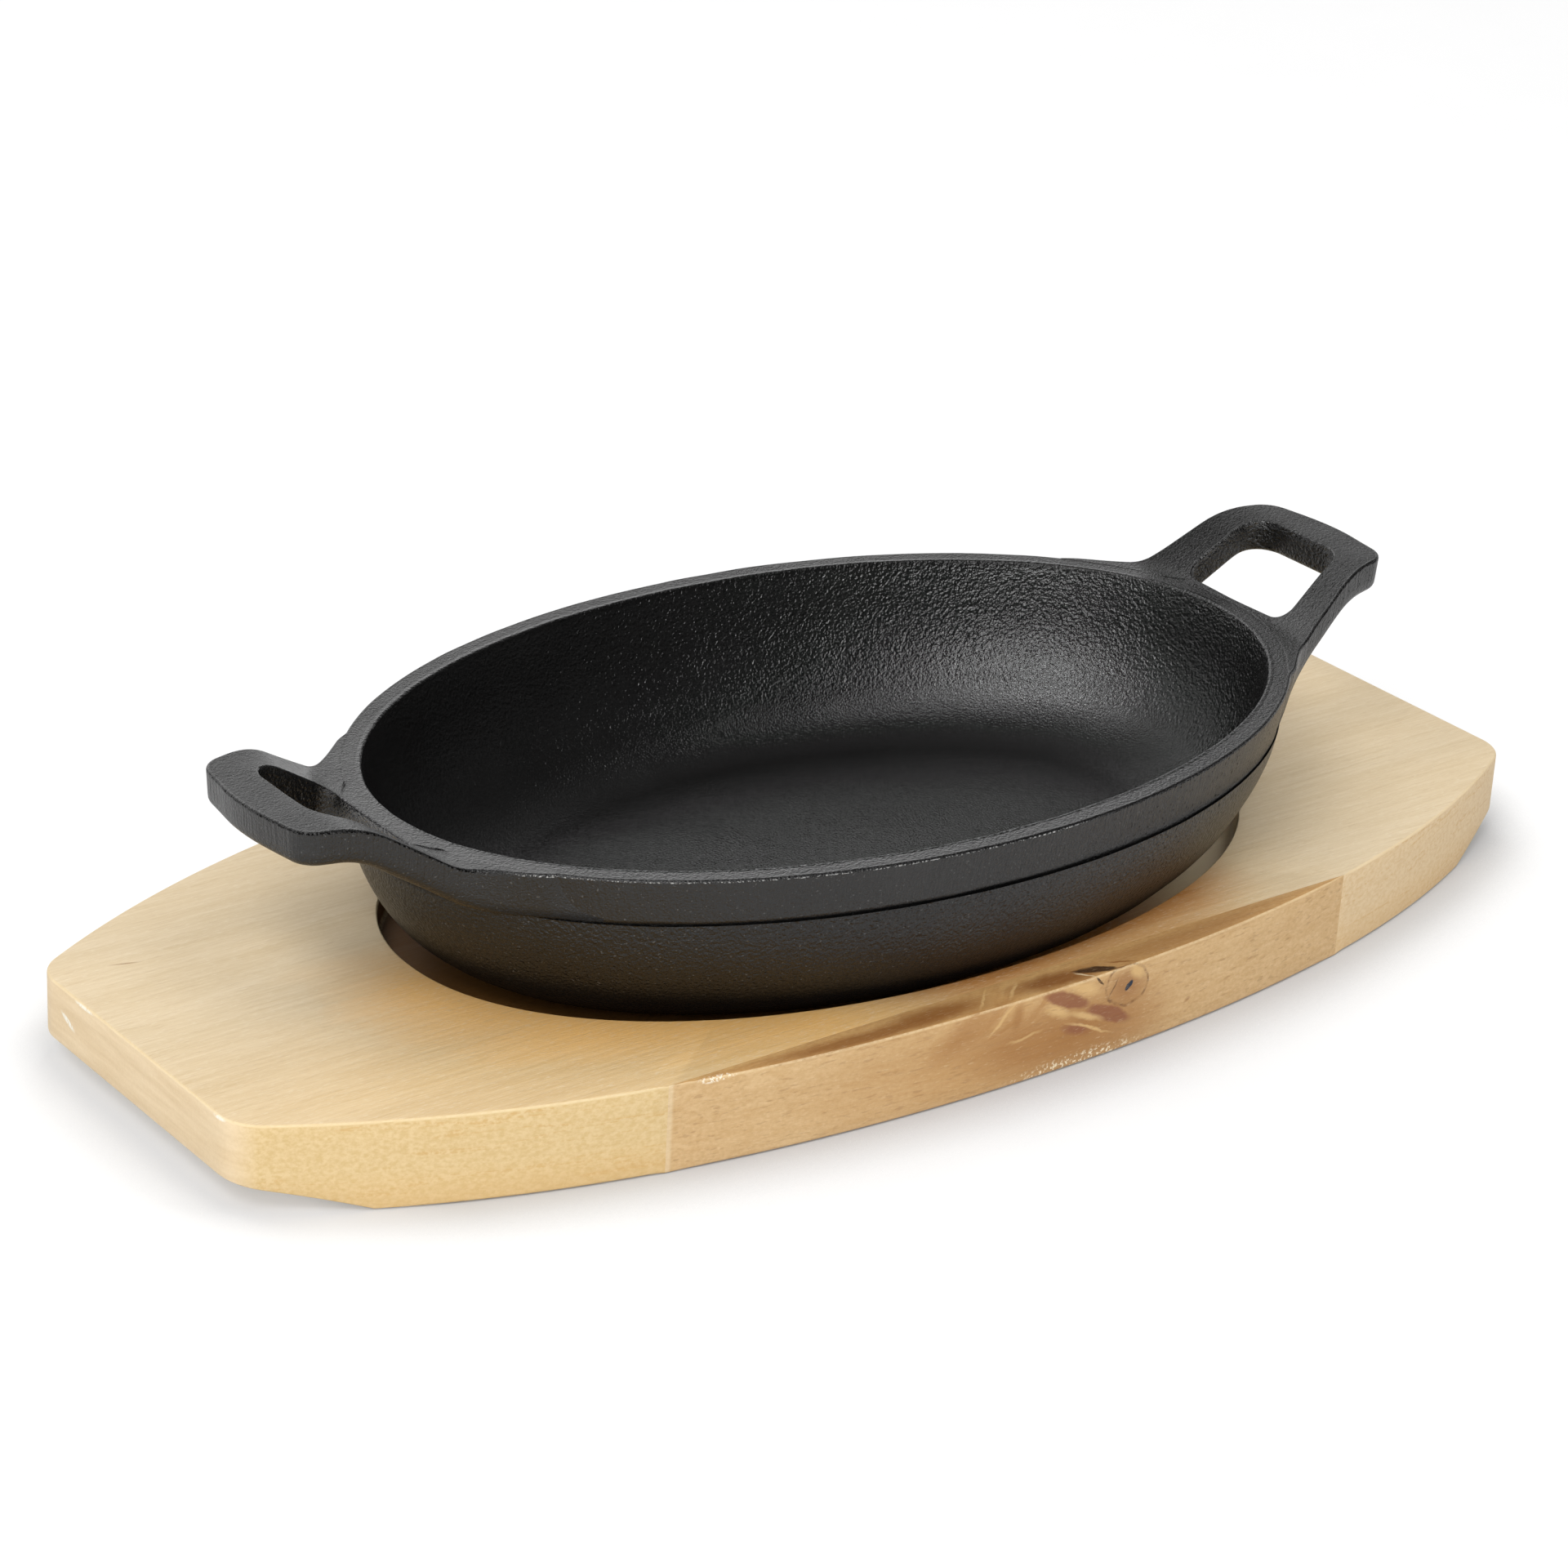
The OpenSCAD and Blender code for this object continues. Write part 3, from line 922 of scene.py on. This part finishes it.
class Wood(Tree):
    """A wood's tree: its place in millimetres, the way each face looks, and its grain along X."""

    def __init__(self, name, seed, speckles):
        super().__init__(bpy.data.materials.new(name))
        self.place = self.coords((1000, 1000, 1000))
        self.x, self.y, self.z = self.split(self.place)
        self.face()
        self.grow(seed)
        self.speckle = self.noise(self.coords(speckles), 1, 2, 0.6)

    def face(self):
        """Shares of the surface that is a top or underside, an end, or an eased top edge."""
        x, _, z = self.split(self.add("TexCoord", 1))
        self.flat = self.span(self.math("ABSOLUTE", z), 0.75, 0.95)
        self.end = self.span(self.math("ABSOLUTE", x), 0.6, 0.92)
        self.eased = self.times(self.span(z, 0.15, 0.5), self.span(z, 0.93, 0.8))

    def grow(self, seed):
        """Broad bands, fine streaks, dark pores and raised fibres of planed hardwood."""
        wander = self.noise(self.coords((14, 40, 40), (seed, seed, 0)), 1, 2)
        bands = self.noise(self.coords((5, 150, 110), (seed, 0, seed)), 1, 3, 0.55, 0.4)
        wander = self.times(self.span(wander, 0.3, 0.7), 0.4)
        bands = self.times(self.span(bands, 0.3, 0.7), 0.6)
        self.broad = self.plus(bands, wander)
        self.streak = self.noise(self.coords((70, 1300, 1100), (0, seed, 0)), 1, 3, 0.6, 0.25)
        self.fleck = self.noise(self.coords((260, 2300, 1700), (seed, 0, 0)), 1, 1.5, 0.55)
        self.fibre = self.noise(self.coords((700, 4200, 3200)), 1, 2)

    def paint_edge_highlight(self, tone, colour):
        """Lays a pale colour unevenly along the eased edge, as a painted highlight."""
        return self.lay(tone, colour, self.eased, self.span(self.speckle, 0.3, 0.6, 0.05, 0.45))

    def finish(self, tone):
        self.surface(
            Base_Color=tone,
            Roughness=self.span(self.streak, 0.3, 0.7, 0.5, 0.62),
            Normal=self.bump(self.fibre, 0.00005, Normal=self.bump(self.streak, 0.00009)),
            Specular_IOR_Level=0.35,
        )
        return self.owner


# colours of the wide stave's top, each from pale to deep along its streaks: its own pale colour, a
# golden pair that is partly the wood's own warmer colour and partly painted shade of the dish, a deep
# pair and an orange that are painted shade beside and left of the dish, then its pores and fibres
PALE_TOP = (0.82, 0.67, 0.455), (0.69, 0.53, 0.315)
GOLD_SHADE_TOP = (0.82, 0.6, 0.32), (0.66, 0.43, 0.18)
DEEP_SHADE_TOP = (0.6, 0.27, 0.07), (0.46, 0.17, 0.035)
LEFT_SHADE_ORANGE = (0.92, 0.52, 0.16)
PORE_BROWN = (0.48, 0.3, 0.14)
FIBRE_PALE = (0.92, 0.82, 0.64)
# colours of its sides, from right to left
SIDE_PALE = (0.78, 0.6, 0.37), (0.74, 0.56, 0.3)
SIDE_DEEP = (0.7, 0.5, 0.27), (0.64, 0.45, 0.2)
GROWTH_LINE = (0.62, 0.36, 0.12)
SIDE_LOW = (0.7, 0.44, 0.17)
# colours of its end grain
END_TONES = (0.87, 0.7, 0.47), (0.72, 0.54, 0.32)
END_LOW = (0.72, 0.48, 0.2)
END_CHIP = (0.93, 0.88, 0.76)
# painted shade on the recess's wall on the left, where the dish shades it, and painted light on its
# right, a lighter colour over its shadow
RECESS_SHADE_LEFT = (0.19, 0.08, 0.016)
RECESS_LIGHT_RIGHT = (0.96, 0.78, 0.5)
# painted highlight along the eased edge, and the brown of a scratch
EDGE_HIGHLIGHT = (0.93, 0.8, 0.54)
SCRATCH_BROWN = (0.36, 0.18, 0.07)
# small marks on the board's left end face, in millimetres along Y and up: centre, half size and lean
END_CHIPS = (
    ((21.6, 10.5), (2.8, 0.65), 24.5),
    ((16, 15.5), (3.4, 0.4), 0),
    ((-27, 15.5), (1.8, 0.45), 0),
)
# a thin dark scratch near the left end of the top, in millimetres: centre, half size and lean
SCRATCH = ((-127.1, 25.6), (3.2, 0.3), -16.6)


def planed_top(t, reach):
    """Fine streaks along the grain, with painted shade of the dish: golden in front of it, partly the
    wood's own warmer colour, deep orange beside it and orange near its left.
    """
    share = t.plus(t.times(t.broad, 0.45), t.times(t.span(t.streak, 0.33, 0.68), 0.5))
    pale, gold_shade, deep_shade = (t.mix(share, *pair) for pair in (PALE_TOP, GOLD_SHADE_TOP, DEEP_SHADE_TOP))
    # painted shade of the dish: golden in front of it and deep orange beside it
    front = t.fall(t.y, -34, -2)
    warm_shade = t.times(t.fall(reach, 1.12, 1.75), front, t.fall(t.x, 30, 75))
    beside = t.times(t.span(t.x, -37, -10), t.fall(t.x, 44, 62))
    dish_shade = t.times(t.fall(reach, 0.88, 1.08), beside, front)
    tone = t.mix(dish_shade, t.mix(warm_shade, pale, gold_shade), deep_shade)
    # painted shade in orange near the dish's left
    left_shade = t.times(t.fall(t.x, -40, -20), t.span(t.y, -5, 12, 0.8, 0))
    tone = t.lay(tone, LEFT_SHADE_ORANGE, t.fall(reach, 0.96, 1.16), left_shade)
    tone = t.lay(tone, PORE_BROWN, t.span(t.fleck, 0.6, 0.7), 0.16)
    return t.lay(tone, FIBRE_PALE, t.span(t.fibre, 0.56, 0.72), 0.32)


def board_side(t):
    """Speckled yellow wood with thin orange growth lines wherever a noise passes its middle."""
    rows = t.noise(t.coords((9, 40, 330), (0.4, 0, 0), (0, math.radians(2), 0)), 1, 2)
    line = t.fall(t.math("ABSOLUTE", t.minus(rows, 0.5)), 0, 0.02)
    left = t.fall(t.x, -70, 70)
    tone = t.lay(t.mix(left, *SIDE_PALE), t.mix(left, *SIDE_DEEP), t.span(t.speckle, 0.35, 0.65), 0.8)
    tone = t.lay(tone, GROWTH_LINE, line, t.span(t.speckle, 0.4, 0.6), 0.5)
    return t.lay(tone, SIDE_LOW, t.span(t.z, 1, 7, 0.35, 0))


def end_grain(t):
    """Greyer wood with faint leaning growth rings, and pale chips on the left."""
    rings = t.noise(t.coords((60, 70, 700), turn=(math.radians(24), 0, 0)), 1, 3, 0.6, 0.3)
    grain = t.plus(t.times(t.span(rings, 0.3, 0.7), 0.6), t.times(t.speckle, 0.5))
    tone = t.mix(grain, *END_TONES)
    tone = t.lay(tone, END_LOW, t.span(t.z, 0.5, 4, 0.4, 0))
    place = t.join(t.y, t.z)
    on_left = t.fall(t.x, -139, -138)
    for centre, half, lean in END_CHIPS:
        chip = t.oval(place, centre, half, lean)
        tone = t.lay(tone, END_CHIP, chip, on_left, t.span(t.speckle, 0.35, 0.5))
    return tone


def wood_material():
    t = Wood("pale_board_wood", 3.1, (900, 1600, 1500))
    # 1 at the rim's outline, seen from above
    reach = t.vector("LENGTH", t.coords((1 / (RIM_A * MM), 1 / (RIM_B * MM), 0)))
    reach = t.plus(reach, t.span(t.broad, 0, 1, -0.06, 0.06))
    tone = t.mix(t.flat, t.mix(t.end, board_side(t), end_grain(t)), planed_top(t, reach))
    # painted shade on the recess's wall on the left, painted light on its right
    sunk = t.times(t.fall(reach, 0.94, 0.99), t.fall(t.z, 14.6, 15.6))
    tone = t.lay(tone, RECESS_SHADE_LEFT, sunk, t.span(t.x, -30, 20, 0.95, 0))
    tone = t.lay(tone, RECESS_LIGHT_RIGHT, sunk, t.span(t.x, 30, 60, 0, 0.8))
    # painted highlight along the eased edge
    tone = t.paint_edge_highlight(tone, EDGE_HIGHLIGHT)
    scratch = t.oval(t.coords((1000, 1000, 0)), *SCRATCH, 0.3)
    return t.finish(t.lay(tone, SCRATCH_BROWN, scratch, 0.7))


BROWN = (0.26, 0.1, 0.022)
RED_BROWN = (0.22, 0.075, 0.014)
PURPLE = (0.27, 0.1, 0.045)
BLACK = (0.055, 0.024, 0.008)
HONEY = (0.5, 0.27, 0.095)
CLOUD = (0.35, 0.155, 0.04)
PALE = (0.7, 0.46, 0.2)
KNOT_PLACE = (17.4, 12.4)
# stains and lines of the knotty middle, in millimetres along X and up the side and over its edge:
# centre, half size, lean, share, colour
STAINS = (
    (-8, 8, 46, 15, 0, 0.6, HONEY),
    (-2, 6.5, 21, 7.5, -8, 0.7, CLOUD),
    (14, 6, 17, 9, -8, 0.6, CLOUD),
    (-18, 13, 11, 4, 30, 0.5, CLOUD),
    (-38, 17.8, 26, 2.4, 2, 0.8, BROWN),
    (-22, 19.4, 13, 3.2, 0, 0.8, BROWN),
    (3, 18.8, 12, 3.2, -4, 0.85, RED_BROWN),
    (32, 18.5, 30, 3.6, -2, 0.45, BROWN),
    (-7.2, 13, 1.6, 3.4, -8, 0.6, CLOUD),
    (7.7, 14.4, 4.6, 1.4, -25, 0.8, PALE),
    (3.6, 13.3, 6.4, 1.5, -22, 0.9, PURPLE),
    (1.6, 11.6, 3.8, 1.5, -25, 0.85, PALE),
    (13.5, 8, 6.4, 1.6, -24, 0.9, PURPLE),
    (6.2, 7, 4.6, 1.3, -22, 0.85, PURPLE),
    (8.2, 9, 5.4, 0.9, -22, 0.8, PALE),
    (*KNOT_PLACE, 5.4, 4.1, -15, 0.7, (0.33, 0.15, 0.05)),
    (19.6, 14.4, 2.4, 1.5, -40, 0.8, PALE),
    (11.5, 18, 4.8, 1.1, -21, 0.95, BLACK),
    (17.4, 17.9, 3.4, 0.45, -27, 0.8, BROWN),
    (9.2, 6.5, 6.8, 0.4, -24.5, 0.85, PALE),
    (-12, 19.7, 4.8, 0.4, 46, 0.7, PALE),
    (-5.7, 19.4, 4, 0.4, 45, 0.7, PALE),
    (-10.6, 13.2, 4.4, 0.4, 42, 0.7, PALE),
    (-5.4, 8.7, 4.7, 0.4, 8, 0.6, PALE),
    (8.7, 17.6, 2.4, 0.3, -50, 0.85, (0.8, 0.66, 0.42)),
    (10.9, 14.9, 1.5, 0.3, -50, 0.9, BLACK),
    (14.3, 12.6, 2.4, 0.25, 60, 0.6, BLACK),
    (33, 5, 1, 0.5, 20, 0.5, BROWN),
    (17.95, 12.05, 1.35, 0.6, 46, 1, (0.016, 0.024, 0.042)),
)


# colours of the narrow stave's side and top, each from pale to deep
FRONT_SIDE = (0.73, 0.52, 0.28), (0.54, 0.33, 0.14)
FRONT_TOP = (0.66, 0.41, 0.17), (0.48, 0.25, 0.08)
KNOT_RIM = (0.15, 0.06, 0.02)
FRONT_PORE = (0.34, 0.18, 0.07)
FRONT_FIBRE = (0.86, 0.7, 0.46)
TORN_PALE = (0.88, 0.76, 0.54)
CHIP_WHITE = (0.93, 0.86, 0.72)
# painted highlight along the eased edge, and the pale glue at the stave's left end
FRONT_EDGE_HIGHLIGHT = (0.9, 0.72, 0.44)
GLUE_PALE = (0.88, 0.76, 0.52)
# outer and inner half size of the dark rim round the knot, in millimetres, and its lean
KNOT_HALVES = ((5.4, 4.2), (4.9, 3.7))
KNOT_LEAN = -15
# places of torn and chipped wood on the side, in millimetres: centre and half size
TORN = ((7, 0.6), (17, 2))
CHIPPED = ((-66, 15.9), (4, 0.9))
# how far the stains' outlines wander, along X and up, and the height where the figure bends
MAP_WARP = (1.6, 1.2, 0)
FIGURE_Z = 12.0


def front_map(t):
    """Height up the side and on over the edge to the top, and a wandering place along X and up."""
    u = t.math("DIVIDE", t.x, END_X)
    u = t.times(u, u)
    bow = t.times(u, t.plus(t.times(u, 1 - BOW_SHARE), BOW_SHARE))
    up = t.plus(t.z, t.plus(t.y, t.minus(HALF_W, t.times(bow, BOW))))
    flatways = t.join(t.x, up)
    wave = t.add("TexNoise", 1, Vector=flatways, Scale=0.35, Detail=3)
    warped = t.vector("MULTIPLY_ADD", wave, MAP_WARP, flatways)
    return up, t.vector("SUBTRACT", warped, [w / 2 for w in MAP_WARP])


def curly_figure(t, tone, up, place):
    """Lines beside the knot that lean up to the right and flatten lower down."""
    lower = t.greater(t.minus(FIGURE_Z, up), 0)
    bend = t.plus(t.minus(up, FIGURE_Z), t.times(lower, lower, -0.8))
    leaning = t.join(t.times(t.minus(t.x, bend), 0.28), t.times(up, 0.1))
    curl = t.noise(leaning, 1, 3, 0.55)
    near = t.oval(place, (-3, 12), (24, 14), 0, 0.3)
    tone = t.lay(tone, PALE, t.span(curl, 0.5, 0.62), near, 0.45)
    return t.lay(tone, CLOUD, t.span(curl, 0.48, 0.36), near, 0.6)


def knotty_middle(t, tone, place):
    """Stains and lines round the knot, and the broken dark rim of the knot itself."""
    for x, y, half_x, half_y, lean, strength, colour in STAINS:
        spread = 0.35 if strength < 0.9 else 0.7
        stain = t.oval(place, (x, y), (half_x, half_y), lean, spread)
        tone = t.lay(tone, colour, stain, strength)
    outer, inner = (t.oval(place, KNOT_PLACE, half, KNOT_LEAN, 0.94) for half in KNOT_HALVES)
    broken = t.span(t.noise(place, 0.5, 2), 0.42, 0.56, 0.2, 0.7)
    return t.lay(tone, KNOT_RIM, t.minus(outer, inner), broken)


def front_wood_material():
    t = Wood("front_stave_wood", 11.7, (1100, 1700, 1700))
    up, place = front_map(t)
    share = t.plus(t.times(t.broad, 0.4), t.times(t.span(t.streak, 0.33, 0.68), 0.3))
    share = t.plus(share, t.times(t.span(t.speckle, 0.35, 0.65), 0.3))
    tone = t.mix(t.flat, t.mix(share, *FRONT_SIDE), t.mix(share, *FRONT_TOP))
    tone = curly_figure(t, tone, up, place)
    tone = knotty_middle(t, tone, place)
    tone = t.lay(tone, FRONT_PORE, t.span(t.fleck, 0.6, 0.7), 0.35)
    tone = t.lay(tone, FRONT_FIBRE, t.span(t.fibre, 0.6, 0.74), 0.2)
    torn = t.span(t.noise(t.place, 1.6, 2, 0.6), 0.52, 0.6)
    tone = t.lay(tone, TORN_PALE, torn, t.oval(place, *TORN, edge=0.5))
    chips = t.span(t.noise(t.place, 2.2, 2, 0.6), 0.5, 0.56)
    tone = t.lay(tone, CHIP_WHITE, chips, t.oval(place, *CHIPPED, edge=0.5))
    # painted highlight along the eased edge
    tone = t.paint_edge_highlight(tone, FRONT_EDGE_HIGHLIGHT)
    glue = t.fall(t.x, -73.9, -73.4)
    return t.finish(t.lay(tone, GLUE_PALE, glue, 0.35))


def dress(obj, material, node):
    obj.data.materials.clear()
    obj.data.materials.append(material)
    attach(obj, "root")
    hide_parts(node)


# the photo's camera: azimuth, rise and roll in degrees, distance and shift in metres, lens and sensor
CAMERA_TURN = -38.426
CAMERA_RISE = 24.713
CAMERA_ROLL = math.radians(3.244)
CAMERA_FAR = 0.79694
CAMERA_ASIDE = (-0.00609, 0.026359)
CAMERA_LENS = 101.56
CAMERA_SENSOR = 36
CAMERA_NEAR = 0.01
# strength of the surroundings for diffuse rays
AMBIENT = 0.6
# how bright the surroundings are in gloss: ahead, how much of that is left in front on the right,
# behind, the panel behind on the left, and the fade upward
GLOSS_AHEAD = 0.2
GLOSS_RIGHT = 0.2
GLOSS_BEHIND = 0.64
GLOSS_PANEL = 1.25
GLOSS_FADE = 0.8
FLOOR_HALF = 6
FLOOR_DROP = 0.0002
FLOOR_GREY = (0.61, 0.61, 0.61), (0.63, 0.63, 0.63)
FLOOR_BLUE = (0.6, 0.61, 0.63)
WHITE = (1, 1, 1)
# glow of the floor for the camera, in the shade of the board and away from it
FLOOR_LIFT = (0.04, 0.4)
SHADE_REACH = 0.03
# openness of the floor in the shade of the board's left end, and its added glow there
COVE_SHADE = (0.3, 0.9)
COVE_LIFT = 0.29
LAMP_FAR = 1.6
# name, azimuth, rise, width, height and watts of each lamp; a fill isn't seen in gloss
LAMPS = (
    ("key", -45, 12, 1.1, 0.45, 7.0),
    ("front", -30, 30, 0.6, 0.6, 2.6),
    ("front_top", -62, 50, 0.5, 0.5, 5.8),
    ("overhead", 0, 65, 0.6, 0.6, 2.4),
    ("left_top", -120, 62, 0.6, 0.6, 1.7),
    ("back", 180, 30, 0.8, 0.6, 1.6),
    ("back_right", 150, 45, 0.6, 0.5, 1.1),
    ("right_fill", 75, 50, 0.8, 0.8, 1.8),
)


def direction(azimuth, rise):
    """Unit vector to a place seen from the object, azimuth 0 in front and turning to the right."""
    a, e = math.radians(azimuth), math.radians(rise)
    return Vector((math.sin(a) * math.cos(e), -math.cos(a) * math.cos(e), math.sin(e)))


def make_camera():
    back = direction(CAMERA_TURN, CAMERA_RISE)
    right = -direction(CAMERA_TURN - 90, 0)
    up = right.cross(-back)
    tilted_right = math.cos(CAMERA_ROLL) * right + math.sin(CAMERA_ROLL) * up
    tilted_up = -math.sin(CAMERA_ROLL) * right + math.cos(CAMERA_ROLL) * up
    data = bpy.data.cameras.new("camera")
    data.lens = CAMERA_LENS
    data.sensor_width = CAMERA_SENSOR
    data.clip_start = CAMERA_NEAR
    camera = bpy.data.objects.new("camera", data)
    place = back * CAMERA_FAR + tilted_right * CAMERA_ASIDE[0] + tilted_up * CAMERA_ASIDE[1]
    turn = Matrix((tilted_right, tilted_up, back)).transposed()
    camera.matrix_world = Matrix.Translation(place) @ turn.to_4x4()
    link(camera)
    bpy.context.scene.camera = camera


def make_lights():
    for name, azimuth, rise, width, height, watts in LAMPS:
        data = bpy.data.lights.new(name, "AREA")
        data.shape = "RECTANGLE"
        data.size = width
        data.size_y = height
        data.energy = watts
        lamp = bpy.data.objects.new(name, data)
        toward = direction(azimuth, rise)
        lamp.location = toward * LAMP_FAR
        lamp.rotation_euler = (-toward).to_track_quat("-Z", "Y").to_euler()
        lamp.visible_glossy = not name.endswith("fill")
        link(lamp)


def make_floor():
    mesh = bpy.data.meshes.new("floor")
    r = FLOOR_HALF
    mesh.from_pydata([(-r, -r, 0), (r, -r, 0), (r, r, 0), (-r, r, 0)], [], [(0, 1, 2, 3)])
    floor = bpy.data.objects.new("floor", mesh)
    floor.location.z = -FLOOR_DROP
    link(floor)
    t = Tree(bpy.data.materials.new("pale_floor"))
    openness = t.add("AmbientOcclusion", 1, {"samples": 8}, Distance=SHADE_REACH)
    # a little blue where the wood throws its warm light on the floor
    grey = t.mix(t.noise(t.coords(), 40, 2.0), *FLOOR_GREY)
    tone = t.lay(grey, FLOOR_BLUE, t.fall(openness, 0.5, 0.9))
    t.surface(Base_Color=tone, Roughness=0.9, Specular_IOR_Level=0.0)
    # the open floor is seen as white, and stays grey where the board shades it
    x, _, _ = t.split(t.coords())
    lift = t.times(t.fall(x, -0.128, -0.108), t.span(openness, *COVE_SHADE, COVE_LIFT, 0.0))
    lift = t.plus(t.span(openness, 0.6, 0.88, *FLOOR_LIFT), lift)
    seen = [t.add("LightPath", ray) for ray in ("Is Camera Ray", "Is Glossy Ray")]
    glow = t.add("Emission", Color=WHITE, Strength=t.times(t.greater(*seen), lift))
    both = t.add("AddShader", values=(t.shader.outputs[0], glow))
    t.set(t.nodes["Material Output"].inputs["Surface"], both)
    mesh.materials.append(t.owner)


def make_world():
    """White for the camera, a dim studio with a white backdrop for gloss, even for the rest."""
    world = bpy.data.worlds.new("studio")
    bpy.context.scene.world = world
    t = Tree(world)
    x, y, z = t.split(t.add("TexCoord", 0))
    behind = t.span(y, -0.3, 0.6, GLOSS_AHEAD, GLOSS_BEHIND)
    behind = t.plus(behind, t.span(y, 0.62, 0.8, 0.0, GLOSS_PANEL - GLOSS_BEHIND))
    aside = t.times(t.minus(x, y), 0.7)
    behind = t.times(behind, t.span(aside, 0.1, 0.6, 1.0, GLOSS_RIGHT))
    gloss = t.times(behind, t.span(z, 0.0, 1.0, 1.0, 1.0 - GLOSS_FADE))
    glossy, camera = (t.add("LightPath", ray) for ray in ("Is Glossy Ray", "Is Camera Ray"))
    level = t.span(camera, 0.0, 1.0, t.span(glossy, 0.0, 1.0, AMBIENT, gloss), 1.0)
    back = t.nodes["Background"]
    t.set(back.inputs["Color"], WHITE)
    t.set(back.inputs["Strength"], level)


bpy.context.scene.view_settings.view_transform = "Standard"
dress(make_dish(), iron_material(), "cast_iron_dish")
dress(make_main_stave(), wood_material(), "board_main_stave")
dress(make_front_stave(), front_wood_material(), "board_front_stave")
make_camera()
make_floor()
make_world()
make_lights()
